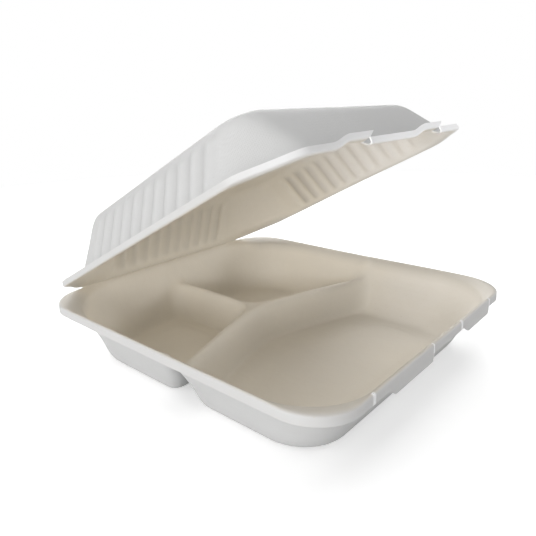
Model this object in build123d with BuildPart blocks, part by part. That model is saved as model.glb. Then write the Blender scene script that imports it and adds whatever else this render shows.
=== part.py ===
from build123d import *
from math import atan, cos, degrees, hypot, radians, sin
import os

os.makedirs("parts", exist_ok=True)

# Driving dimensions in millimetres. The table is z = 0, the latch side faces -Y and the crease is at +Y.
rim_size = 228.0  # tray and lid alike, outside
rim_corner = 30.0
rim_height = 40.0  # from the table to the plane where the two rims meet
wall = 0.8
flange_width = 4.0
lip_height = 5.5

# Slopes are the inward run of a wall for each millimetre of its depth.
tray_slope = 0.5
tray_mouth_corner = 40.0
floor_fillet = 7.0

lid_angle = 28.3  # how far the lid stands open
lid_depth = 36.5
lid_slope = 0.62
lid_mouth_corner = 38.0
lid_top_fillet = 9.0
lid_lip = 4.5

divider_height = 23.5
divider_crest = 6.0  # width of its top
divider_slope = 0.25
divider_peak_y = 19.0  # middle of the arch, and its ends at the rim
divider_end_y = -13.0
divider_bend = 40.0
divider_corner = 16.0
divider_fillet = 2.5
foot_blend = 5.0

panel_step = 0.8
panel_margin = 24.0  # from the divider's foot
panel_edge = 14.0  # from the tray's foot
panel_corner = 12.0
small_panel_margin = 10.0
small_panel_edge = 9.0
small_panel_corner = 8.0

hinge_length = 166.0
hinge_gap = 0.3  # from each rim to the line of the crease

rib_pitch = 11.24
rib_count = 11
rib_width = 8.6
rib_rise = 1.3
rib_foot = 7.0  # rim to the ribs' lower ends
rib_head = 6.0  # upper ends to the roof
rib_shift = 12.0  # side ribs towards the latch

# Along the front edge: where each ramp starts, where it is full, and where the cut end is.
flap_spans = ((-63.0, -53.0, -10.5), (32.0, 42.0, 76.0))
flap_drop = 4.5
slit_starts = (-76.3, -10.5, 30.0, 76.0)
tongue_spans = ((-66.0, -47.0, -24.0), (19.0, 41.0, 64.0))
tongue_rise = 3.4
tongue_hook = 7.0
slit_width = 0.8
slit_reach = 12.0
slit_depth = 1.6  # into the rim, from its edge

# Sizes that follow from them.
half_rim = rim_size / 2
half_mouth = half_rim - flange_width
hinge_y = half_rim + hinge_gap
divider_foot_spread = divider_slope * divider_height
overrun = 20.0


def half_width(depth, slope, skin):
    """Half the width of a sloping tub at a depth below its rim, grown outwards by a skin."""
    return half_mouth - slope * depth + skin * hypot(1, slope)


def tub(rim, depth, slope, corner, skin, blend):
    """A square tub that narrows away from the plane of its rim, with its far edge blended."""
    half = half_width(0, slope, skin)
    with BuildPart(mode=Mode.PRIVATE) as form:
        with BuildSketch(rim):
            RectangleRounded(2 * half, 2 * half, corner + skin)
        extrude(amount=depth, taper=degrees(atan(slope)))
        end = form.faces().sort_by(Axis(rim.origin, rim.z_dir))[-1]
        fillet(end.edges(), blend)
    return form.part


def divider_outline(plane, spread):
    """The plan of the divider, a shallow arch with a stem, grown sideways by a spread."""
    half = divider_crest / 2 + spread
    reach = half_rim + overrun
    end_y = divider_end_y - (divider_peak_y - divider_end_y) * overrun / half_rim
    with BuildSketch(plane, mode=Mode.PRIVATE) as outline:
        with BuildLine():
            front = Polyline((-reach, end_y - half), (0, divider_peak_y - half), (reach, end_y - half))
            right = Polyline(front @ 1, (reach, end_y + half), (half, divider_peak_y + half))
            stem = Polyline(right @ 1, (half, reach), (-half, reach), (-half, divider_peak_y + half))
            Polyline(stem @ 1, (-reach, end_y + half), front @ 0)
        make_face()
        corners = outline.vertices().filter_by(lambda v: abs(v.X) < half + 1 and v.Y < reach - 1)
        fillet(corners.group_by(Axis.Y)[0], divider_bend)
        fillet(corners.group_by(Axis.Y)[-1], divider_corner - spread)
    return outline.sketch


# The divider as a solid ridge, and the hollow under it.
divider_taper = degrees(atan(divider_slope))
with BuildPart() as ridge:
    extrude(divider_outline(Plane.XY, divider_foot_spread), wall + divider_height, taper=divider_taper)
    fillet(ridge.edges().group_by(Axis.Z)[-1], divider_fillet)

with BuildPart() as ridge_hollow:
    low_spread = divider_foot_spread + divider_slope * overrun - wall * hypot(1, divider_slope)
    low_outline = divider_outline(Plane.XY.offset(-overrun), low_spread)
    extrude(low_outline, overrun + divider_height, taper=divider_taper)


# The room inside the tray: the tub less the ridge, with its edges blended.
rim_plane = Plane.XY.offset(rim_height)
rim_down = Plane(origin=(0, 0, rim_height), x_dir=(1, 0, 0), z_dir=(0, 0, -1))
with BuildPart() as tray_room:
    add(tub(rim_down, rim_height - wall, tray_slope, tray_mouth_corner, 0, floor_fillet))
    add(ridge.part, mode=Mode.SUBTRACT)
    foot_reach = half_width(rim_height, tray_slope, 0) - floor_fillet / 2
    feet = tray_room.edges().group_by(Axis.Z)[0]
    feet = feet.filter_by(lambda e: max(abs(e.center().X), abs(e.center().Y)) < foot_reach)
    fillet(feet, foot_blend)

with BuildPart() as tray_body:
    add(tub(rim_down, rim_height, tray_slope, tray_mouth_corner, wall, floor_fillet + wall))
    add(ridge_hollow.part, mode=Mode.SUBTRACT)


def frame(plane, width, inner_corner):
    """A flat frame along the rim, with a width and the corner radius inside it."""
    with BuildSketch(plane, mode=Mode.PRIVATE) as outline:
        RectangleRounded(rim_size, rim_size, rim_corner)
        inner = rim_size - 2 * width
        RectangleRounded(inner, inner, inner_corner, mode=Mode.SUBTRACT)
    return outline.sketch


def arch_y(x):
    """The middle line of the divider's arch, before its bend is rounded."""
    return divider_peak_y - (divider_peak_y - divider_end_y) * abs(x) / half_rim


def panel_outline(plane, grow):
    """The plan of the shallow raised panels, one in each of the three floors."""
    foot = half_width(rim_height, tray_slope, 0) + grow
    divider_foot = divider_crest / 2 + divider_foot_spread - grow
    inner = foot - panel_edge
    drop = divider_foot + panel_margin
    side = foot - small_panel_edge
    near_stem = divider_foot + small_panel_margin
    with BuildSketch(plane, mode=Mode.PRIVATE) as outline:
        with BuildLine():
            Polyline((-inner, -inner), (inner, -inner), (inner, arch_y(inner) - drop), (0, arch_y(0) - drop),
                     (-inner, arch_y(inner) - drop), close=True)
        make_face()
        fillet(outline.vertices(), panel_corner)
    with BuildSketch(plane, mode=Mode.PRIVATE) as small:
        with BuildLine():
            Polyline((near_stem, side), (near_stem, arch_y(near_stem) + near_stem),
                     (side, arch_y(side) + near_stem), (side, side), close=True)
        make_face()
        fillet(small.vertices(), small_panel_corner)
    return [outline.sketch, small.sketch, mirror(small.sketch, about=Plane.YZ, mode=Mode.PRIVATE)]


# The tray: sloping walls, three floors, and a flat rim with a turned-down lip.
with BuildPart() as tray:
    add(tray_body.part)
    extrude(frame(rim_plane, flange_width, tray_mouth_corner), -wall)
    extrude(frame(rim_plane, wall, rim_corner - wall), -lip_height)
    front_plane = Plane(origin=(0, -half_rim, rim_height), x_dir=(1, 0, 0), z_dir=(0, -1, 0))
    for start, full, end in flap_spans:
        with BuildSketch(front_plane):
            with BuildLine():
                Polyline((start, -lip_height), (full, -lip_height - flap_drop), (end, -lip_height - flap_drop),
                         (end, -wall), (start, -wall), close=True)
            make_face()
        extrude(amount=-wall)
    hinge_cut = Plane(origin=(0, half_rim, rim_height - wall), x_dir=(1, 0, 0), z_dir=(0, 0, -1))
    with BuildSketch(hinge_cut):
        Rectangle(hinge_length, 2 * wall)
    extrude(amount=lip_height, mode=Mode.SUBTRACT)
    with BuildSketch(front_plane):
        for start in slit_starts:
            with Locations((start + slit_width / 2, 0)):
                Rectangle(slit_width, 2 * slit_reach)
    extrude(amount=-slit_depth, mode=Mode.SUBTRACT)
    add(tray_room.part, mode=Mode.SUBTRACT)
    for panel in panel_outline(Plane.XY.offset(wall / 2), wall):
        extrude(panel, wall / 2 + panel_step)
    for panel in panel_outline(Plane.XY, 0):
        extrude(panel, panel_step, mode=Mode.SUBTRACT)
    tray.part.label = "tray"


# The lid stands open on the crease. Its own plane lies on its rim, with the latch side towards -y.
lid_turn = radians(lid_angle)
hinge_point = Vector(0, hinge_y, rim_height)
lid_normal = Vector(0, sin(lid_turn), cos(lid_turn))
lid_back = Vector(0, cos(lid_turn), -sin(lid_turn))
lid_plane = Plane(origin=hinge_point - lid_back * (hinge_gap + half_rim), x_dir=(1, 0, 0), z_dir=lid_normal)
rib_radius = (rib_width ** 2 / 4 + rib_rise ** 2) / (2 * rib_rise)
rib_length = (lid_depth - rib_foot - rib_head) * hypot(1, lid_slope)


def rib_sketches(inset):
    """One rounded segment for each rib, at its foot on a lid wall, made smaller by an inset."""
    across = Vector(lid_plane.x_dir)
    walls = ((across, lid_back, -rib_shift), (across * -1, lid_back, -rib_shift), (lid_back, across, 0))
    ribs = []
    chord = rib_radius - rib_rise - 2 * wall
    for outward, along, shift in walls:
        up = (lid_normal - outward * lid_slope).normalized()
        out = (outward + lid_normal * lid_slope).normalized()
        foot = half_width(rib_foot, lid_slope, wall)
        for k in range(rib_count):
            place = shift + (k - (rib_count - 1) / 2) * rib_pitch
            origin = lid_plane.origin + outward * foot + lid_normal * rib_foot + along * place
            origin = origin - out * (rib_radius - rib_rise) + up * inset
            with BuildSketch(Plane(origin=origin, x_dir=out, z_dir=up), mode=Mode.PRIVATE) as rib:
                Circle(rib_radius - inset)
                with Locations((chord, 0)):
                    Rectangle(3 * rib_radius, 3 * rib_radius, align=(Align.MAX, Align.CENTER), mode=Mode.SUBTRACT)
            ribs.append(rib.sketch)
    return ribs


with BuildPart() as lid_room:
    add(tub(lid_plane, lid_depth - wall, lid_slope, lid_mouth_corner, 0, lid_top_fillet))
    for rib in rib_sketches(wall):
        extrude(rib, rib_length - 2 * wall)

lid_front = Plane(origin=lid_plane.origin - lid_back * half_rim, x_dir=(1, 0, 0), z_dir=lid_back * -1)


def tongue_outline(start, full, end, low, high, slant):
    """A strip seen from the latch side: it rises from the rim, runs level and ends on a slant."""
    with BuildSketch(lid_front, mode=Mode.PRIVATE) as outline:
        with BuildLine():
            Polyline((start, low), (full, tongue_rise + low), (end - tongue_hook + slant * low, tongue_rise + low),
                     (end - tongue_hook + slant * high, tongue_rise + high), (full, tongue_rise + high),
                     (start, high), close=True)
        make_face()
    return outline.sketch


def tongue_opening(start, full, end):
    """What is cut from the rim under a tongue, with the slit at its end."""
    root = end - tongue_hook
    with BuildSketch(lid_front, mode=Mode.PRIVATE) as outline:
        with BuildLine():
            Polyline((start, -wall), (start, 0), (full, tongue_rise), (full, 2 * lid_lip), (end + 1, 2 * lid_lip),
                     (root + slit_width, tongue_rise), (root + slit_width, -wall), close=True)
        make_face()
    return outline.sketch

with BuildPart() as lid:
    add(tub(lid_plane, lid_depth, lid_slope, lid_mouth_corner, wall, lid_top_fillet + wall))
    for rib in rib_sketches(0):
        extrude(rib, rib_length)
    extrude(frame(lid_plane, flange_width, lid_mouth_corner), wall)
    extrude(frame(lid_plane, wall, rim_corner - wall), lid_lip)
    slant = tongue_hook / lid_lip
    for start, full, end in tongue_spans:
        extrude(tongue_opening(start, full, end), -(flange_width + lid_slope * tongue_rise), mode=Mode.SUBTRACT)
        extrude(tongue_outline(start, full, end, 0, wall, slant), -(flange_width + lid_slope * tongue_rise + wall))
        extrude(tongue_outline(start, full, end, 0, lid_lip, slant), -wall)
    hinge_cut = Plane(origin=lid_plane.origin + lid_back * half_rim + lid_normal * wall, x_dir=(1, 0, 0),
                      z_dir=lid_normal)
    with BuildSketch(hinge_cut):
        Rectangle(hinge_length, 2 * wall)
    extrude(amount=lid_lip, mode=Mode.SUBTRACT)
    add(lid_room.part, mode=Mode.SUBTRACT)
    lid.part.label = "lid"

export_step(tray.part, "parts/tray.step")
export_step(lid.part, "parts/lid.step")
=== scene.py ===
# %% [markdown]
# A folding meal box is one sheet of moulded plant fibre. Wet fibre is drawn through a wire screen onto a
# form that lies open, with the tray and the lid side by side, and is pressed dry. The lid is then folded
# over on a crease. This lesson makes it the same way: a flat sheet for each half, pressed to its form,
# cut, thickened, and the lid folded. The CAD model comes first, because every piece has to lie where its
# solid is and move with its body.

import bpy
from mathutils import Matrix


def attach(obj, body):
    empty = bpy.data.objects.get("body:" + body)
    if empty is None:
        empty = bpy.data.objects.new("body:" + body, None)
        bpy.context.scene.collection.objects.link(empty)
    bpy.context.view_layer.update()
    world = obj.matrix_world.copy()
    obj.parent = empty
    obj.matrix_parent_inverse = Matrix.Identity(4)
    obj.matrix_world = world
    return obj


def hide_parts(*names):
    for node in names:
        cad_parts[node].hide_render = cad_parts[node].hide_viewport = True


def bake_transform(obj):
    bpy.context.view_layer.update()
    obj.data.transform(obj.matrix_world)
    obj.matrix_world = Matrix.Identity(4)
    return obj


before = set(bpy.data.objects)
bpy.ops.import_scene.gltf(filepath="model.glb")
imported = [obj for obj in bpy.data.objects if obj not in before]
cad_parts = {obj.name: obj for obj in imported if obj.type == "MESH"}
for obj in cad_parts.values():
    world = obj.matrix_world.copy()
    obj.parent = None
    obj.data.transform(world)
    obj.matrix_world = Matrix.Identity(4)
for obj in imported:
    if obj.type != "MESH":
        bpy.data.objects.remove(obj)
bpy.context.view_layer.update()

# %% [markdown]
# Everything here is in millimetres until a mesh is written, so the sizes read like the product's drawing.
# The names below hold for both halves: the plane where the rims meet, the line of the crease, how far the
# lid stands open, and the thickness of the pressed fibre. Each half stops a hair short of the crease, so
# that the two never touch as the lid turns.

# %% Sizes both halves share
from math import cos, pi, radians, sin

import bpy
import numpy as np
from mathutils import Matrix, Vector

MM = 0.001
RIM_HEIGHT = 40.0
CREASE_Y = 114.3
CREASE_GAP = 0.03
HINGE_HALF = 83.0
HINGE_MARGIN = 0.5
LID_ANGLE = 28.3
WALL = 0.8
HALF_RIM = 114.0
MOUTH = 110.0
ROLL = 1.3
ROLL_START = HALF_RIM - ROLL
ROLL_END = ROLL_START + ROLL * pi / 2
SLIT = 0.5
TOUCH = 0.01
SMOOTH_ANGLE = 50

# %% [markdown]
# Both halves have the same rim: a square with round corners, a narrow flat flange, and an edge that rolls
# over into a lip. A mesh could be cut out of a plain grid, but then every edge would be a staircase. Here
# a grid line is numbered by its distance from the middle of the sheet, measured along the sheet once it
# is past the roll, and each square ring of such lines becomes a round-cornered ring. So the grid follows
# the rim at every corner.

# %% From square rings to round-cornered rings
TINY = 1e-6


def rim_run(ring):
    """How far out and how deep the sheet is on a ring, past the flange."""
    turn = np.clip((ring - ROLL_START) / ROLL, 0, pi / 2)
    half = np.minimum(ring, ROLL_START) + ROLL * np.sin(turn)
    depth = ROLL * (1 - np.cos(turn)) + np.maximum(ring - ROLL_END, 0)
    return half, depth


def round_rings(a, b, corner_lines, corner_radii, rounder, cut=0):
    """Moves the points of square rings onto rings with round corners.

    rounder is added to the radius, and cut takes that much off the middle of each corner.
    """
    ring = np.maximum(abs(a), abs(b))
    run = np.minimum(abs(a), abs(b))
    half = rim_run(ring)[0]
    corner = np.interp(ring, corner_lines, corner_radii) + rounder
    straight = half - corner
    turn = np.clip((run - straight) / np.maximum(ring - straight, TINY), 0, 1) * pi / 4
    bent = run > straight
    pulled = cut * np.sin(2 * turn) ** 2 / np.sqrt(2)
    out = np.where(bent, straight + corner * np.cos(turn) - pulled, half)
    side = np.where(bent, straight + corner * np.sin(turn) - pulled, run)
    on_side = abs(a) >= abs(b)
    x = np.sign(a) * np.where(on_side, out, side)
    y = np.sign(b) * np.where(on_side, side, out)
    return x, y, ring


print("sheet half widths", HALF_RIM, "rolled", round(ROLL_END, 2))

# %% [markdown]
# A moulded sheet has no sharp inside corner, because fibre bridges it. Where two surfaces of a form meet,
# a soft minimum or maximum of their depths gives that bridge, and its one number is how wide the blend
# is. A bevel could do the same on simple edges, but not where four walls and a ridge run into each other,
# as they do at the divider. Shapes that come and go along the sheet are faded in and out the same way.


# %% Soft corners and fades
def soft_min(p, q, blend):
    """The lower of two depths, bridged where they are within blend of each other."""
    near = np.maximum(blend - abs(p - q), 0) / blend
    return np.minimum(p, q) - near * near * blend / 4


def soft_max(p, q, blend):
    """The higher of two depths, bridged like soft_min."""
    return -soft_min(-p, -q, blend)


def ease(t):
    """From 0 to 1, level at both ends."""
    t = np.clip(t, 0, 1)
    return t * t * (3 - 2 * t)


def fade(value, start, length):
    """0 up to start, and 1 from a length further on."""
    return ease((value - start) / length)


def band(value, fade_in, fade_out):
    """1 between two fades and 0 outside them. A fade is where it starts and its length."""
    return fade(value, *fade_in) * (1 - fade(value, *fade_out))


print("two equal depths with a blend of 8 give", soft_min(10.0, 10.0, 8))

# %% [markdown]
# The grid is fine where the form bends and coarse where it is flat, so the lines are chosen and not
# spread evenly. A cut along the rim needs a line exactly on each side of it: those lines are kept, and
# others near them make room. A run of lines is its first one, its last one and the step between them.

# %% Grid lines
WALL_RUNS = ((82, 88, 1.5), (88, 94, 1.0), (94, 108, 1.3), (108, ROLL_START, 0.7))
ROLL_STEPS = 5
LIP_STEPS = 4
FLAT_STEP = 2.0
FLAT_REACH = 80.0
MIDDLE_ROOM = 1.0
KEPT_ROOM = 0.7


def lines(*runs):
    """Evenly spaced lines over each (first, last, step) run."""
    spaced = [np.linspace(first, last, round((last - first) / step) + 1) for first, last, step in runs]
    return np.unique(np.round(np.concatenate(spaced), 3))


wall_lines = np.concatenate([lines(*WALL_RUNS), np.linspace(ROLL_START, ROLL_END, ROLL_STEPS + 1)[1:]])


def sheet_lines(middle, lip, kept=()):
    """Lines across the whole sheet, from lip to lip: fine ones in the middle, and kept ones at each cut."""
    lip_lines = np.linspace(ROLL_END, ROLL_END + lip - ROLL, LIP_STEPS + 1)[1:]
    outer = np.concatenate([wall_lines, lip_lines])
    flat = lines((-FLAT_REACH, FLAT_REACH, FLAT_STEP))
    flat = flat[(flat < middle.min() - MIDDLE_ROOM) | (flat > middle.max() + MIDDLE_ROOM)]
    loose = np.concatenate([flat, middle])
    for line in kept:
        loose = loose[abs(loose - line) > KEPT_ROOM]
    return np.unique(np.round(np.concatenate([-outer, loose, kept, outer]), 3))


print("lines from the wall to the roll", len(wall_lines))

# %% [markdown]
# Four tools do the work on each sheet, with three small helpers. The first lays a flat grid and remembers
# the two line numbers of every point. The second presses it, and keeps values such as how near a point is
# to the rim, which the material reads later. The third deletes faces, as a cutting die does. The last
# gives the sheet its thickness, with the smooth food side, the side that lay on the screen, and the cut
# edge as three materials.


# %% Tools for a sheet
def select_only(piece):
    bpy.ops.object.select_all(action="DESELECT")
    bpy.context.view_layer.objects.active = piece
    piece.select_set(True)


def flat_sheet(name, across, along):
    """A flat grid with a line at each station, and its two station numbers for every point."""
    bpy.ops.object.select_all(action="DESELECT")
    nx, ny = len(across) - 1, len(along) - 1
    bpy.ops.mesh.primitive_grid_add(x_subdivisions=nx, y_subdivisions=ny, size=2)
    sheet = bpy.context.object
    sheet.name = name
    place = np.array([v.co for v in sheet.data.vertices])
    column = np.rint((place[:, 0] + 1) / 2 * nx).astype(int)
    row = np.rint((place[:, 1] + 1) / 2 * ny).astype(int)
    return sheet, across[column], along[row]


def press(sheet, x, y, z, shades):
    """Moves the sheet's points to a form in millimetres, and keeps named values for its material."""
    sheet.data.vertices.foreach_set("co", (np.stack([x, y, z], 1) * MM).astype(np.float32).ravel())
    for name, value in shades.items():
        kept = sheet.data.attributes.new(name, "FLOAT", "POINT")
        kept.data.foreach_set("value", value.astype(np.float32))
    sheet.data.update()


def face_middles(sheet, *values):
    """The mean of each value over every face's corners."""
    corners = np.array([p.vertices[:] for p in sheet.data.polygons])
    return [v[corners].mean(1) for v in values]


def in_slits(on_edge, a, ring, cuts, root, reach=0):
    """True inside the slits that start at cuts and run in from one edge of the sheet to a root."""
    in_one = [(a > cut - reach) & (a < cut + SLIT + reach) for cut in cuts]
    return on_edge & (ring > root) & np.any(in_one, axis=0)


def cut_faces(sheet, chosen):
    """Deletes the faces for which chosen is true."""
    select_only(sheet)
    bpy.ops.object.mode_set(mode="EDIT")
    bpy.ops.mesh.select_mode(type="FACE")
    bpy.ops.mesh.select_all(action="DESELECT")
    bpy.ops.object.mode_set(mode="OBJECT")
    sheet.data.polygons.foreach_set("select", chosen)
    bpy.ops.object.mode_set(mode="EDIT")
    bpy.ops.mesh.delete(type="FACE")
    bpy.ops.object.mode_set(mode="OBJECT")


def thicken(sheet):
    """Gives the sheet its thickness away from the food side."""
    solid = sheet.modifiers.new("wall", "SOLIDIFY")
    solid.thickness = WALL * MM
    solid.offset = -1
    solid.use_even_offset = True
    solid.use_quality_normals = True
    solid.material_offset = 1
    solid.material_offset_rim = 2
    select_only(sheet)
    bpy.ops.object.modifier_apply(modifier="wall")
    bpy.ops.object.shade_smooth_by_angle(angle=radians(SMOOTH_ANGLE))


print("sheet tools ready, wall", WALL, "mm")

# %% [markdown]
# The tray's form is one depth for every place. Four sloping walls and a floor would be a plain tub. The
# divider is an arch across it with a stem back to the crease, and each of the three rooms that this
# leaves is the lower of the tub's walls and the divider's flanks. The blends are widest in the two small
# rooms, where the arch meets the stem, and narrow along the crest. Each floor has a shallow raised panel,
# which keeps it from bowing when the box is picked up.

# %% The tray's form
TRAY_DEPTH = RIM_HEIGHT - WALL
TRAY_SLOPE = 0.5
TRAY_FOOT = MOUTH - TRAY_SLOPE * TRAY_DEPTH
RIM_CORNER = 27.0
MOUTH_CORNER = 40.0
FOOT_CORNER = 26.0
CREST_DEPTH = 15.7
CREST_HALF = 3.0
DIVIDER_SLOPE = 0.25
ARCH_PEAK = 19.0
ARCH_END = -13.0
ARCH_ROUND = 14.0
ARCH_LEVEL = 3.0
ARCH_FADE = (14.0, 52.0)
CREST_TO_WALL = 9.0
CREST_ROUND = 9.0
FLANK_TO_WALL = 24.0
SMALL_TO_WALL = 40.0
FLANK_TO_STEM = 62.0
FLOOR_ROUND = 9.0
FLANGE_ROUND = 5.0
PANEL_RISE = 0.6
PANEL_RAMP = 4.0
LARGE_PANEL = {"from_foot": 14.0, "from_divider": 33.0, "corner": 14.0}
SMALL_PANEL = {"from_foot": 12.0, "from_divider": 21.0, "corner": 12.0}


def arch(x):
    """The middle line of the divider's arch."""
    def bow(v):
        return np.sqrt(v * v + ARCH_ROUND ** 2) - ARCH_ROUND
    return ARCH_PEAK - (ARCH_PEAK - ARCH_END) * bow(x) / bow(HALF_RIM)


def follow_arch(x, y):
    """Slides the grid lines near the divider along the sheet, so that they run with the arch."""
    share = 1 - fade(abs(y - ARCH_LEVEL), *ARCH_FADE)
    return y + (arch(x) - ARCH_LEVEL) * share


def panel(ring, sizes, *from_divider):
    """How far inside the edge of one floor panel a place is."""
    inside = TRAY_FOOT - sizes["from_foot"] - ring
    for distance in from_divider:
        inside = soft_min(inside, distance - sizes["from_divider"], sizes["corner"])
    return inside


def tray_depth(x, y, ring):
    """How deep the tray's form is below the rim."""
    wall = (MOUTH - ring) / TRAY_SLOPE
    square_on = np.cos(np.arctan((ARCH_PEAK - ARCH_END) / HALF_RIM))
    from_arch = (y - arch(x)) * square_on
    front = CREST_DEPTH + (-from_arch - CREST_HALF) / DIVIDER_SLOPE
    back = CREST_DEPTH + (from_arch - CREST_HALF) / DIVIDER_SLOPE
    rooms = [soft_min(wall, front, FLANK_TO_WALL)]
    raised = panel(ring, LARGE_PANEL, -from_arch)
    for side in (-1, 1):
        stem = CREST_DEPTH + (side * x - CREST_HALF) / DIVIDER_SLOPE
        rooms.append(soft_min(wall, soft_min(back, stem, FLANK_TO_STEM), SMALL_TO_WALL))
        raised = np.maximum(raised, panel(ring, SMALL_PANEL, side * x, from_arch))
    depth = soft_min(wall, CREST_DEPTH, CREST_TO_WALL)
    for room in rooms:
        depth = soft_max(depth, room, CREST_ROUND)
    floor = TRAY_DEPTH - PANEL_RISE * fade(raised, -PANEL_RAMP / 2, PANEL_RAMP)
    return soft_min(depth, floor, FLOOR_ROUND)


print("tray foot", round(TRAY_FOOT, 1), "crest", RIM_HEIGHT - CREST_DEPTH, "above the table")

# %% [markdown]
# The latch edge hangs lower in two flaps, each with a ramp at one end and a rounded cut at the other.
# Slits beside them let the flaps bend when the lid's tongues push past. The same ramp, turned the other
# way, raises the tongues. A span below is where a ramp starts, where it is full and where the cut is.

# %% The tray's flaps and slits
TRAY_LIP = 5.5
FLAPS = ((-63.0, -53.0, -10.5), (32.0, 42.0, 76.0))
FLAP_DROP = 4.5
FLAP_ROUND = 2.4
ROUND_PARTS = (1, 1 / 2, 1 / 6, 0)
SLITS = (-76.3, -10.5, 30.0, 76.0)
SLIT_ROOT = 112.6
RIM_WAVER = 0.25
WAVER_RUN_X, WAVER_SHIFT_X = 17.0, 0.6
WAVER_RUN_Y, WAVER_SHIFT_Y = 23.0, 1.1
WAVER_FADE = (108.0, 5.0)
CREASE_FADE = 15.0


def ramp(x, spans, height):
    """A strip along the latch edge that rises on a ramp and stops at a cut."""
    rise = np.zeros_like(x)
    for start, full, end in spans:
        share = np.clip((x - start) / (full - start), 0, 1) * (x <= end + TOUCH)
        rise = np.maximum(rise, height * ease(share))
    return rise


def waver(x, y, ring):
    """How far a rim that dried free of its form has sunk below its plane."""
    wave = np.sin(x / WAVER_RUN_X + WAVER_SHIFT_X) * np.sin(y / WAVER_RUN_Y + WAVER_SHIFT_Y)
    return RIM_WAVER * (1 + wave) * fade(ring, *WAVER_FADE)


def off_crease(x, on_back):
    """0 along the crease, and 1 on the rest of the rim."""
    return np.where(on_back, fade(abs(x), HINGE_HALF, CREASE_FADE), 1)


flap_lines = []
for start, full, end in FLAPS:
    flap_lines += [start, full] + [end - FLAP_ROUND * part for part in ROUND_PARTS]
for cut in SLITS:
    flap_lines += [cut, cut + SLIT]
print("lines kept for flaps and slits", len(set(flap_lines)))

# %% [markdown]
# Now the tray is pressed. Along the crease the sheet stays flat up to the fold line, where the lid
# begins. Beside the crease the mouth's corners are rounder than in front, so that the flange reaches
# under the lid's corners, which are cut back. The values kept for the material say where the rim and the
# lip are, where the flange gets a painted shade, where the torn slits get a painted highlight, and where
# painted light, for light shining through the thin wall, makes the tray palest.

# %% Press and cut the tray
CREST_RUNS = ((0, 3, 1), (3, 9.6, 0.6), (9.6, 14, 1.1))
HINGE_ROUNDER = 12.0
HINGE_ROUNDER_BAND = ((85.0, 20.0), (110.0, 4.0))
# Where the painted shade on the flange begins.
TRAY_RIM_SHADE = (106.0, 5.0)
LIP_SHADE = (ROLL_START, 2.0)
# Painted light, for light shining through the thin wall, towards the right and the front.
TRAY_BACKLIGHT = 0.5
TRAY_BACKLIGHT_RIGHT = (30.0, 70.0)
TRAY_BACKLIGHT_FRONT = (-20.0, 60.0)

half_crest = lines(*CREST_RUNS)
crest_lines = np.concatenate([-half_crest[:0:-1], half_crest])
tray_across = sheet_lines(crest_lines, TRAY_LIP, sorted(set(flap_lines)))
tray_along = sheet_lines(crest_lines + ARCH_LEVEL, TRAY_LIP)
tray_sheet, tray_a, tray_b = flat_sheet("moulded_tray", tray_across, tray_along)
off_middle = np.maximum(abs(tray_a), abs(tray_b))
rounder = HINGE_ROUNDER * (tray_b > 0) * band(off_middle, *HINGE_ROUNDER_BAND)
tray_x, tray_y, tray_ring = round_rings(tray_a, tray_b, [0, TRAY_FOOT, MOUTH, HALF_RIM],
                                        [0, FOOT_CORNER, MOUTH_CORNER, RIM_CORNER], rounder)
tray_y = follow_arch(tray_x, tray_y)
roll_depth = rim_run(tray_ring)[1]
depth = soft_max(tray_depth(tray_x, tray_y, tray_ring), 0, FLANGE_ROUND) + roll_depth

off_side = abs(tray_b) >= abs(tray_a)
on_latch = (tray_b < 0) & off_side
on_back = (tray_b > 0) & off_side
drop = ramp(tray_x, FLAPS, FLAP_DROP)
for _, _, end in FLAPS:
    near_cut = np.clip((tray_x - end + FLAP_ROUND) / FLAP_ROUND, 0, 1) * (tray_x <= end + TOUCH)
    drop -= FLAP_ROUND * (1 - np.sqrt(1 - near_cut ** 2)) * (near_cut > 0)
lip_share = np.clip((tray_ring - ROLL_END) / (TRAY_LIP - ROLL), 0, 1)
depth = depth + np.where(on_latch, drop * lip_share, 0)

by_crease = on_back & (abs(tray_x) < HINGE_HALF + HINGE_MARGIN)
at_crease = by_crease & (tray_ring > ROLL_START)
depth = np.where(at_crease, 0, depth + waver(tray_x, tray_y, tray_ring) * (tray_b < HINGE_HALF))
tray_y = np.where(at_crease, np.minimum(tray_ring, CREASE_Y - CREASE_GAP), tray_y)

# The material paints a shade on the flange, a highlight along the torn slits, and light shining through the
# thin wall towards the right and the front.
tray_shades = {
    "rim": fade(tray_ring, *TRAY_RIM_SHADE) * off_crease(tray_x, on_back),
    "lip": fade(tray_ring, *LIP_SHADE) * ~by_crease,
    "edge": in_slits(on_latch, tray_a, tray_ring, SLITS, SLIT_ROOT, TOUCH),
    "painted_backlight": TRAY_BACKLIGHT * fade(tray_a, *TRAY_BACKLIGHT_RIGHT) * fade(-tray_b, *TRAY_BACKLIGHT_FRONT),
}
press(tray_sheet, tray_x, tray_y, RIM_HEIGHT - depth, tray_shades)
mid_a, mid_b, mid_ring, mid_x = face_middles(tray_sheet, tray_a, tray_b, tray_ring, tray_x)
off_side = abs(mid_b) >= abs(mid_a)
past_crease = off_side & (mid_b > 0) & (mid_ring > CREASE_Y) & (abs(mid_x) < HINGE_HALF)
slits = in_slits(off_side & (mid_b < 0), mid_a, mid_ring, SLITS, SLIT_ROOT)
cut_faces(tray_sheet, past_crease | slits)
print("tray faces", len(tray_sheet.data.polygons))

# %% [markdown]
# The lid is a shallower tub that opens downwards. Thin pressed fibre buckles easily, so rows of ribs
# stiffen three of its walls, and they fade out before the roof and the rim. They are waves along the
# wall, because a pressed sheet has no sharp grooves. The plain front wall keeps the latch edge straight.
# A lid warps as it dries: here its back wall leans in, its back corners are tucked in and rounder, its
# roof is tilted a little, and the ribs lean.

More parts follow.
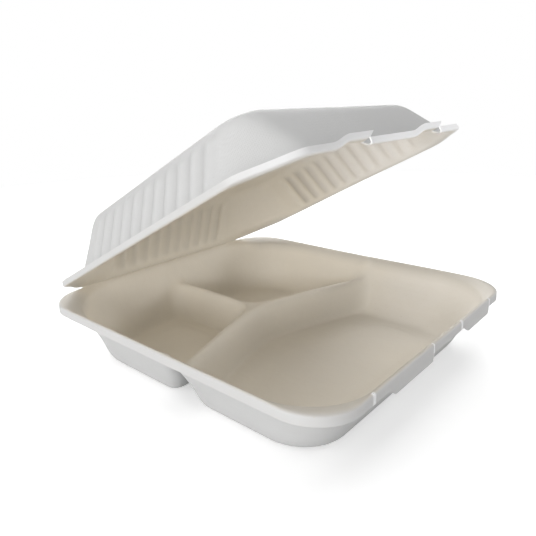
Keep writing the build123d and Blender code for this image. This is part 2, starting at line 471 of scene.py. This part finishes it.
# %% The lid's form
LID_DEPTH = 36.5 - WALL
LID_SLOPE = 0.62
LID_ROOF = MOUTH - LID_SLOPE * LID_DEPTH
LID_RIM_CORNER = 30.5
LID_MOUTH_CORNER = 40.0
ROOF_CORNER = 17.0
ROOF_ROUND = 10.0
ROOF_TILT = 1.5
LID_LIP = 3.8
FRONT_CUT = 5.0
FRONT_CUT_FADE = (90.0, 20.0)
BACK_CUT = 6.0
BACK_CUT_FADE = (60.0, 50.0)
BACK_ROUNDER = 14.0
BACK_ROUNDER_BAND = ((50.0, 35.0), (107.0, 5.0))
BACK_LEAN = 8.5
BACK_LEAN_FADE = (45.0, 43.0)
BACK_TUCK = 4.0
TUCK_SIDE_FADE = 28.0
TUCK_BACK_FADE = (50.0, 50.0)
RIB_PITCH = 11.24
RIB_COUNT = 11
RIB_STEPS = 8
RIB_RISE = 2.2
RIB_SHIFT = 12.0
RIB_WINDOW = ((2.0, 4.0), (27.0, 7.0))
RIB_LEAN = 3.0
RIB_LEAN_BAND = ((-80.0, 30.0), (50.0, 35.0))
RIB_REACH = RIB_COUNT / 2 * RIB_PITCH


def rib_height(along):
    """How far the wall stands out: a row of waves that starts and ends in a hollow."""
    wave = (1 + np.cos(2 * pi * along / RIB_PITCH)) / 2
    return RIB_RISE * wave * (abs(along) < RIB_REACH)


rib_lines = np.round(np.linspace(-RIB_REACH, RIB_REACH, RIB_COUNT * RIB_STEPS + 1), 3)
print("lid roof", round(LID_ROOF, 1), "rib row", round(2 * RIB_REACH, 1), "mm long")

# %% [markdown]
# Two tongues on the lid's latch edge slip under the tray's flaps. Each rises from the rim on a ramp and
# ends in a hooked cut, where the lip is sheared sideways.

# %% The lid's tongues
TONGUES = ((-66.0, -47.0, -31.0), (19.0, 41.0, 57.0))
TONGUE_ENDS = [end for _, _, end in TONGUES]
TONGUE_RISE = 3.4
TONGUE_ROUND = 4.0
TONGUE_HOOK = 7.0
HOOK_RUN = 14.0
TONGUE_ROOT = 107.5

tongue_lines = []
for start, full, end in TONGUES:
    tongue_lines += [start, full, end, end + SLIT]
print("lines kept for tongues", len(tongue_lines))

# %% [markdown]
# The lid is pressed lying open beyond the crease, as it is on the real form, with its rim level with the
# tray's. First come its rings and its depth, then the ribs that push its walls out, and then everything
# that leans. The last part hooks the tongues, flattens the sheet at the crease and cuts it.

# %% Press and cut the lid
# Where the painted shade on the flange begins.
LID_RIM_SHADE = (108.5, 4.0)
# Where the painted highlight on the latch edge falls, weaker on the left.
HIGHLIGHT_RING = (111.0, 3.0)
HIGHLIGHT_FRONT = (80.0, 30.0)
HIGHLIGHT_LEFT, HIGHLIGHT_RIGHT = 0.45, (-80.0, 90.0)
# The painted shade in the rib hollows: its falloff, and how much stronger it is on the far wall.
HOLLOW_SHADE_POWER = 1.2
FAR_HOLLOW_SHADE = 1.4
# Painted light, for light shining through the thin wall, towards the right and the front.
LID_BACKLIGHT_RIGHT = (40.0, 50.0)
LID_BACKLIGHT_FRONT = (-50.0, 90.0)

lid_across = sheet_lines(rib_lines, LID_LIP, tongue_lines)
lid_along = sheet_lines(rib_lines + RIB_SHIFT, LID_LIP)
lid_sheet, lid_a, lid_b = flat_sheet("moulded_lid", lid_across, lid_along)
off_middle = np.maximum(abs(lid_a), abs(lid_b))
front_cut = FRONT_CUT * fade(off_middle, *FRONT_CUT_FADE)
back_cut = BACK_CUT * fade(off_middle, *BACK_CUT_FADE)
rounder = BACK_ROUNDER * (lid_b < 0) * band(off_middle, *BACK_ROUNDER_BAND)
lid_x, lid_y, lid_ring = round_rings(lid_a, lid_b, [0, LID_ROOF, MOUTH, HALF_RIM],
                                     [0, ROOF_CORNER, LID_MOUTH_CORNER, LID_RIM_CORNER],
                                     rounder, np.where(lid_b < 0, back_cut, front_cut))
on_side = abs(lid_a) > abs(lid_b)
on_latch = (lid_b > 0) & ~on_side
on_back = (lid_b < 0) & ~on_side
rise = np.where(on_latch, ramp(lid_x, TONGUES, TONGUE_RISE), 0)
roll_depth = rim_run(lid_ring)[1]
to_right = np.clip(lid_a / LID_ROOF, -1, 1)
roof_depth = LID_DEPTH - ROOF_TILT * to_right
wall_depth = (MOUTH - lid_ring) / LID_SLOPE * roof_depth / LID_DEPTH
depth = soft_max(soft_min(wall_depth, roof_depth, ROOF_ROUND), rise, TONGUE_ROUND) + roll_depth
height_share = np.clip(depth / LID_DEPTH, 0, 1)

window = band(wall_depth, *RIB_WINDOW)
ribbed = np.where(on_side, rib_height(lid_y - RIB_SHIFT), np.where(on_back, rib_height(lid_x), 0))
bulge = window * ribbed
slant = np.hypot(1, LID_SLOPE)
lid_x = lid_x + np.where(on_side, np.sign(lid_a) * bulge / slant, 0)
lid_y = lid_y - np.where(on_back, bulge / slant, 0)
depth = depth + bulge * LID_SLOPE / slant
lid_y = lid_y + RIB_LEAN * to_right * band(lid_b, *RIB_LEAN_BAND) * height_share
lid_y = lid_y + BACK_LEAN * fade(-lid_b, *BACK_LEAN_FADE) * height_share
lid_y = lid_y + BACK_TUCK * fade(abs(lid_x), HINGE_HALF, TUCK_SIDE_FADE) * fade(-lid_b, *TUCK_BACK_FADE)

lip_share = np.clip(roll_depth / LID_LIP, 0, 1)
for end in TONGUE_ENDS:
    near_cut = fade(lid_a, end - HOOK_RUN, HOOK_RUN) * (lid_a <= end + TOUCH) * on_latch
    lid_x = lid_x + TONGUE_HOOK * near_cut * lip_share
by_crease = on_back & (abs(lid_x) < HINGE_HALF + HINGE_MARGIN)
at_crease = by_crease & (lid_ring > ROLL_START)
depth = np.where(at_crease, 0, depth + waver(lid_x, lid_y, lid_ring) * (lid_b > -HINGE_HALF))
lid_y = np.where(at_crease, -np.minimum(lid_ring, CREASE_Y - CREASE_GAP), lid_y)

last_hollow = RIB_REACH - RIB_PITCH / 2
in_row = np.where(on_side, abs(lid_b - RIB_SHIFT) < last_hollow, on_back & (abs(lid_a) < last_hollow))
# A painted shade for the hollows between the ribs, darkest in each hollow.
hollow = window * in_row * (1 - ribbed / RIB_RISE) ** HOLLOW_SHADE_POWER
highlight_share = HIGHLIGHT_LEFT + (1 - HIGHLIGHT_LEFT) * fade(lid_a, *HIGHLIGHT_RIGHT)
# The material paints a shade on the flange, a highlight on the latch edge that is strongest on the right, a
# shade in the rib hollows, strongest on the far wall, and light shining through the thin wall towards the
# right and the front.
lid_shades = {
    "rim": fade(lid_ring, *LID_RIM_SHADE) * off_crease(lid_x, on_back),
    "lip": fade(lid_ring, *LIP_SHADE) * ~by_crease,
    "edge": fade(lid_ring, *HIGHLIGHT_RING) * fade(lid_b, *HIGHLIGHT_FRONT) * highlight_share,
    "hollow": hollow * (1 + FAR_HOLLOW_SHADE * on_side * (lid_a > 0)),
    "painted_backlight": fade(lid_a, *LID_BACKLIGHT_RIGHT) * fade(lid_b, *LID_BACKLIGHT_FRONT),
}
press(lid_sheet, lid_x, lid_y + 2 * CREASE_Y, RIM_HEIGHT - depth, lid_shades)
mid_a, mid_b, mid_ring, mid_x = face_middles(lid_sheet, lid_a, lid_b, lid_ring, lid_x)
off_side = abs(mid_b) >= abs(mid_a)
past_crease = off_side & (mid_b < 0) & (mid_ring > CREASE_Y) & (abs(mid_x) < HINGE_HALF)
slits = in_slits(off_side & (mid_b > 0), mid_a, mid_ring, TONGUE_ENDS, TONGUE_ROOT)
cut_faces(lid_sheet, past_crease | slits)
print("lid faces", len(lid_sheet.data.polygons))

# %% [markdown]
# Then the lid is folded. It turns about the crease, from lying open to where the photograph shows it. Its
# mesh is turned and not its object, so the object stays at the origin like every other piece.


# %% Fold the lid
def fold_lid(piece):
    """Turns a piece that lies open flat about the crease, to where the lid stands."""
    select_only(piece)
    bpy.ops.object.mode_set(mode="EDIT")
    bpy.ops.mesh.select_all(action="SELECT")
    bpy.ops.transform.rotate(value=-radians(180 - LID_ANGLE), orient_axis="X",
                             center_override=(0, CREASE_Y * MM, RIM_HEIGHT * MM))
    bpy.ops.object.mode_set(mode="OBJECT")


fold_lid(lid_sheet)
place = np.array([v.co for v in lid_sheet.data.vertices])

# %% [markdown]
# A material is a small sum over a place: some noise, a colour, a threshold. The Value class lets such
# sums be written as sums, and the Finish class has the one method that makes nodes. Both only save lines,
# and change no look.

# %% Sums in a material
# A Mix node has sockets for every kind of data. These are the ones for colour.
MIX_FIRST, MIX_SECOND, MIX_RESULT = 6, 7, 2


class Value:
    """A number in a material's node tree: sums written with it become Math nodes."""

    def __init__(self, finish, socket):
        self.finish = finish
        self.socket = socket

    def math(self, operation, *others):
        node = self.finish.node("ShaderNodeMath", {"operation": operation}, self, *others)
        return Value(self.finish, node.outputs[0])

    def __add__(self, other):
        return self.math("ADD", other)

    def __mul__(self, other):
        return self.math("MULTIPLY", other)


class Finish:
    """A material and the one way its nodes are made."""

    def __init__(self, name):
        self.material = bpy.data.materials.new(name)
        self.material.use_nodes = True
        self.tree = self.material.node_tree
        self.shader = self.tree.nodes["Principled BSDF"]

    def node(self, kind, settings, *values, **named):
        """A new node. values go to its first sockets, and named to the sockets of those names."""
        made = self.tree.nodes.new(kind)
        for key, value in settings.items():
            setattr(made, key, value)
        for place, value in list(enumerate(values)) + list(named.items()):
            self.feed(made.inputs[place], value)
        return made

    def feed(self, socket, value):
        """Links a value or another node's socket to this one, or sets a plain number."""
        if isinstance(value, Value):
            self.tree.links.new(value.socket, socket)
        elif isinstance(value, bpy.types.NodeSocket):
            self.tree.links.new(value, socket)
        else:
            socket.default_value = value

    def kept(self, name):
        """A value that press kept on the mesh."""
        return Value(self, self.node("ShaderNodeAttribute", {"attribute_name": name}).outputs["Fac"])

    def noise(self, scale, detail, stretch=(1, 1, 1)):
        """A soft noise between 0 and 1, in lumps of about 1/scale metres."""
        where = self.node("ShaderNodeTexCoord", {}).outputs["Object"]
        moved = self.node("ShaderNodeMapping", {}, where, Scale=stretch)
        found = self.node("ShaderNodeTexNoise", {}, Vector=moved.outputs[0], Scale=scale, Detail=detail)
        return Value(self, found.outputs["Fac"])

    def share(self, value, low, high):
        """From 0 at low to 1 at high."""
        return Value(self, self.node("ShaderNodeMapRange", {}, value, low, high, 0.0, 1.0).outputs[0])

    def mix(self, share, first, second):
        """The first colour where share is 0, and the second where it is 1."""
        made = self.node("ShaderNodeMix", {"data_type": "RGBA"})
        for socket, value in (("Factor", share), (MIX_FIRST, first), (MIX_SECOND, second)):
            self.feed(made.inputs[socket], value)
        return made.outputs[MIX_RESULT]


def paint(colour, strength=1.0):
    """A colour socket's four numbers."""
    return tuple(c * strength for c in colour) + (1,)


print("material tools ready")

# %% [markdown]
# Pressed plant fibre is matt, with a broad cloudiness, fine strands and a few darker flecks. The food
# side is smooth and creamy, and is set much lighter than the other side, partly for its own tone and
# partly as painted light that lifts the shaded inside. The other side lay on the wire screen, is greyer,
# partly as painted shade, and carries its print, a lattice of about one millimetre that only a raking
# light shows. The rim is a little greyer than the food side, as a painted shade on the flange, and the
# lip is a neutral grey. A painted highlight whitens the torn slits and the lid's latch edge, and painted
# light, for light shining through the thin walls, makes the food side palest at the right and front. A
# painted shade darkens the hollows between the ribs. Each layer below is mixed over the ones before it,
# by a value that press kept or by a noise.

# %% The fibre
LIP_COLOUR = (0.585, 0.585, 0.585)
# The colour of the painted highlight on the torn slits and the latch edge.
PAINTED_HIGHLIGHT_COLOUR = (0.95, 0.95, 0.955)
# The colour of painted light shining through the thin wall.
PAINTED_BACKLIGHT_COLOUR = (0.92, 0.895, 0.86)
# A noise is its scale, its detail and, where it isn't round, its stretch.
CLOUD = (28, 3)
GRAIN = (900, 2)
STRANDS = (420, 3, (1, 0.25, 0.6))
FLECKS = (1500, 1, (1, 0.5, 0.8))
FLECK_RANGE = (0.68, 0.78)
STRAND_SHARE = 0.10
FLECK_SHARE = 0.22
# The share and the darkness of the painted shade in the rib hollows are set below.
HOLLOW_SHADE_SHARE = 0.3
CLOUD_DARK = 0.955
HOLLOW_SHADE_DARK = 0.6
GRAIN_ROUGHNESS = 0.12
SHINE = 0.35
GRAIN_RELIEF = 0.35
STRAND_RELIEF = 0.5
RELIEF_STRENGTH = 0.5
RELIEF_HEIGHT = 0.12
SCREEN_PITCH = 0.95


def fibre(name, colour, rim, fleck, roughness, screen):
    """Moulded plant fibre. screen is how deep the wire screen has printed into it."""
    finish = Finish(name)
    cloud = finish.noise(*CLOUD)
    grain = finish.noise(*GRAIN)
    strands = finish.noise(*STRANDS)
    flecks = finish.share(finish.noise(*FLECKS), *FLECK_RANGE)
    base = finish.mix(cloud, paint(colour), paint(colour, CLOUD_DARK))
    # A painted shade in the hollows between the ribs.
    base = finish.mix(finish.kept("hollow") * HOLLOW_SHADE_SHARE, base, paint(colour, HOLLOW_SHADE_DARK))
    # Painted light, for light shining through the thin wall, everywhere but on the screen side.
    if not screen:
        base = finish.mix(finish.kept("painted_backlight"), base, paint(PAINTED_BACKLIGHT_COLOUR))
    # A painted shade on the flange.
    base = finish.mix(finish.kept("rim"), base, paint(rim))
    base = finish.mix(finish.kept("lip"), base, paint(LIP_COLOUR))
    base = finish.mix(strands * STRAND_SHARE, base, paint(fleck))
    base = finish.mix(flecks * FLECK_SHARE, base, paint(fleck))
    # A painted highlight on the torn slits and the lid's latch edge.
    base = finish.mix(finish.kept("edge"), base, paint(PAINTED_HIGHLIGHT_COLOUR))
    finish.feed(finish.shader.inputs["Base Color"], base)
    finish.feed(finish.shader.inputs["Roughness"], grain * GRAIN_ROUGHNESS + roughness)
    finish.shader.inputs["Specular IOR Level"].default_value = SHINE
    relief = grain * GRAIN_RELIEF + strands * STRAND_RELIEF
    if screen:
        where = finish.node("ShaderNodeTexCoord", {}).outputs["Object"]
        split = finish.node("ShaderNodeSeparateXYZ", {}, where)
        turns = 2 * pi / (SCREEN_PITCH * MM)
        waves = [Value(finish, s).math("MULTIPLY", turns).math("SINE") for s in split.outputs]
        relief = relief + (waves[0] * waves[1] + waves[1] * waves[2] + waves[2] * waves[0]) * screen
    bump = finish.node("ShaderNodeBump", {}, Strength=RELIEF_STRENGTH, Distance=RELIEF_HEIGHT * MM,
                       Height=relief)
    finish.feed(finish.shader.inputs["Normal"], bump.outputs[0])
    return finish.material


# The food side is set lighter, partly its creamy tone and partly painted light for the shaded inside.
food_side = fibre("smooth_fibre", colour=(0.86, 0.81, 0.72), rim=(0.66, 0.625, 0.565),
                  fleck=(0.60, 0.52, 0.39), roughness=0.52, screen=0)
# The screen side is set darker, partly its grey tone and partly painted shade for the brightly lit outside.
screen_side = fibre("screen_fibre", colour=(0.61, 0.61, 0.607), rim=(0.61, 0.605, 0.60),
                    fleck=(0.45, 0.44, 0.41), roughness=0.6, screen=0.35)
cut_edge = fibre("cut_fibre", colour=(0.88, 0.87, 0.85), rim=(0.61, 0.605, 0.60),
                 fleck=(0.70, 0.66, 0.60), roughness=0.7, screen=0)
print("materials", [m.name for m in (food_side, screen_side, cut_edge)])

# %% [markdown]
# Each sheet becomes a wall of 0.8 mm, and is handed to the frame: it rides on its body and stands for the
# CAD solid of that name, which is hidden.

# %% Thicken both sheets
for sheet, body in ((tray_sheet, "tray"), (lid_sheet, "lid")):
    for material in (food_side, screen_side, cut_edge):
        sheet.data.materials.append(material)
    thicken(sheet)
    print(sheet.name, "triangles", sum(len(p.vertices) - 2 for p in sheet.data.polygons))
    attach(sheet, body)
    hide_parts(body)

# %% [markdown]
# The two halves are one sheet, so a web of fibre joins them along the crease. It is a narrow strip, as
# thick as the wall, swung round the crease from the tray's edge to the lid's.

# %% The crease between them
WEB_CUTS = 24
WEB_STEPS = 12
WEB_GAP = 0.05
MERGE = 0.01

bpy.ops.object.select_all(action="DESELECT")
bpy.ops.mesh.primitive_plane_add(size=1)
crease = bpy.context.object
crease.name = "crease_web"
bpy.ops.object.mode_set(mode="EDIT")
bpy.ops.mesh.select_all(action="SELECT")
bpy.ops.transform.resize(value=(2 * HINGE_HALF * MM, (WALL - 2 * WEB_GAP) * MM, 1))
bpy.ops.mesh.subdivide(number_cuts=WEB_CUTS)
bpy.ops.transform.rotate(value=pi / 2, orient_axis="X", center_override=(0, 0, 0))
bpy.ops.transform.translate(value=(0, CREASE_Y * MM, (RIM_HEIGHT - WALL / 2 - WEB_GAP) * MM))
bpy.ops.mesh.spin(steps=WEB_STEPS, angle=radians(180 - LID_ANGLE),
                  center=(0, CREASE_Y * MM, RIM_HEIGHT * MM), axis=(1, 0, 0))
bpy.ops.mesh.select_all(action="SELECT")
bpy.ops.mesh.remove_doubles(threshold=MERGE * MM)
bpy.ops.mesh.normals_make_consistent(inside=False)
bpy.ops.object.mode_set(mode="OBJECT")
place = np.array([v.co for v in crease.data.vertices]) / MM
print("crease web", place.min(0), place.max(0))
crease.data.materials.append(food_side)
bpy.ops.object.shade_smooth_by_angle(angle=radians(SMOOTH_ANGLE))
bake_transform(crease)

# %% [markdown]
# The box stands on a white table that runs into a white background. The table is a real floor, so it
# sends light up under the walls and takes the box's soft shadow. Further out it turns into plain white
# for the camera only, and so does the sky, because a brighter light would burn out the pale fibre. The
# floor's size, the shadow's reach and where the white begins are in metres.

# %% Floor and backdrop
FLOOR_SIZE = 40
FLOOR_DROP = 0.1
FLOOR_WHITE = 0.9
FLOOR_ROUGHNESS = 0.9
FLOOR_GLOW = 0.4
SHADOW_REACH, WHITE_FROM = 0.35, 0.9
SKY_LIGHT = 0.04

bpy.ops.object.select_all(action="DESELECT")
bpy.ops.mesh.primitive_plane_add(size=FLOOR_SIZE, location=(0, 0, -FLOOR_DROP * MM))
floor = bpy.context.object
floor.name = "studio_floor"
plain = Finish("studio_white")
seen = Value(plain, plain.node("ShaderNodeLightPath", {}).outputs["Is Camera Ray"])
plain.shader.inputs["Base Color"].default_value = paint((1, 1, 1), FLOOR_WHITE)
plain.shader.inputs["Roughness"].default_value = FLOOR_ROUGHNESS
glow = plain.node("ShaderNodeEmission", {}, Strength=seen * FLOOR_GLOW)
near_floor = plain.node("ShaderNodeAddShader", {}, plain.shader.outputs[0], glow.outputs[0])
white = plain.node("ShaderNodeEmission", {}, Strength=1.0)
where = plain.node("ShaderNodeTexCoord", {}).outputs["Object"]
reach = plain.node("ShaderNodeVectorMath", {"operation": "LENGTH"}, where).outputs["Value"]
far_share = plain.share(reach, SHADOW_REACH, WHITE_FROM) * seen
both = plain.node("ShaderNodeMixShader", {}, far_share, near_floor.outputs[0], white.outputs[0])
plain.feed(plain.tree.nodes["Material Output"].inputs["Surface"], both.outputs[0])
floor.data.materials.append(plain.material)

world = bpy.data.worlds.new("studio")
bpy.context.scene.world = world
world.use_nodes = True
sky = world.node_tree
path = sky.nodes.new("ShaderNodeLightPath")
strength = sky.nodes.new("ShaderNodeMapRange")
strength.inputs["To Min"].default_value = SKY_LIGHT
strength.inputs["To Max"].default_value = 1.0
sky.links.new(path.outputs["Is Camera Ray"], strength.inputs["Value"])
sky.nodes["Background"].inputs["Color"].default_value = (1, 1, 1, 1)
sky.links.new(strength.outputs[0], sky.nodes["Background"].inputs["Strength"])
print("floor and sky ready")

# %% [markdown]
# A product like this is photographed between large soft lamps. The strongest stand low on the left and
# behind on the right: they model the walls and the divider, and leave the latch side in a light shade, as
# in the photograph. Each lamp below has its place in metres, its size in metres and its power in watts.

# %% Lamps
MIDDLE = (0, 0, 0.08)
SOFTBOXES = {
    "left_low": ((-1.5, -0.4, 0.2), 0.7, 16.5),
    "left_high": ((-1.2, 0.1, 1.2), 1.2, 8),
    "left_front": ((-1.3, -1.0, 0.5), 1.0, 1.5),
    "front_low": ((-0.75, -1.35, 0.17), 0.45, 1.6),
    "right_low": ((1.4, -0.6, 0.22), 0.7, 11.5),
    "right_back": ((1.2, 1.0, 0.8), 1.2, 20),
    "back": ((0.0, 1.6, 0.7), 1.2, 5),
    "top": ((0.0, 0.0, 1.8), 1.4, 10),
}


def lamp(name, place, target, size, power):
    """A square soft lamp that faces a point, and that the camera doesn't see."""
    data = bpy.data.lights.new(name, "AREA")
    data.size = size
    data.energy = power
    made = bpy.data.objects.new(name, data)
    bpy.context.scene.collection.objects.link(made)
    made.location = place
    made.rotation_euler = (Vector(target) - Vector(place)).to_track_quat("-Z", "Y").to_euler()
    made.visible_camera = False


for name, (place, size, power) in SOFTBOXES.items():
    lamp(name + "_softbox", place, MIDDLE, size, power)
print("lamps", len(SOFTBOXES))

# %% [markdown]
# The camera is the photograph's own. Its place, turn and lens come from fitting the rims' corners to the
# picture, and the shift is there because the picture is a crop whose middle isn't the lens's axis. The
# photograph's sizes are in its pixels.

# %% Camera
PHOTO_SIDE = 536.0
PHOTO_FOCUS = 550.4
PHOTO_AXIS = (218.0, 189.5)
CAMERA_PLACE = (-289.0, -224.4, 175.4)
CAMERA_YAW, CAMERA_PITCH, CAMERA_ROLL = radians(46.02), radians(-9.79), radians(-1.64)
SENSOR = 36.0
NEAREST_SEEN = 0.01

forward = Vector((cos(CAMERA_PITCH) * sin(CAMERA_YAW),
                  cos(CAMERA_PITCH) * cos(CAMERA_YAW), sin(CAMERA_PITCH)))
level = Vector((cos(CAMERA_YAW), -sin(CAMERA_YAW), 0))
upward = level.cross(forward)
right = level * cos(CAMERA_ROLL) + upward * sin(CAMERA_ROLL)
up = upward * cos(CAMERA_ROLL) - level * sin(CAMERA_ROLL)
camera_data = bpy.data.cameras.new("photo_camera")
camera = bpy.data.objects.new("photo_camera", camera_data)
bpy.context.scene.collection.objects.link(camera)
turn = Matrix((right, up, -forward)).transposed().to_4x4()
camera.matrix_world = Matrix.Translation(Vector(CAMERA_PLACE) * MM) @ turn
camera_data.sensor_width = SENSOR
camera_data.lens = PHOTO_FOCUS / PHOTO_SIDE * SENSOR
camera_data.shift_x = 0.5 - PHOTO_AXIS[0] / PHOTO_SIDE
camera_data.shift_y = PHOTO_AXIS[1] / PHOTO_SIDE - 0.5
camera_data.clip_start = NEAREST_SEEN
bpy.context.scene.camera = camera
bpy.context.scene.view_settings.view_transform = "Standard"
print("camera lens", round(camera_data.lens, 2))
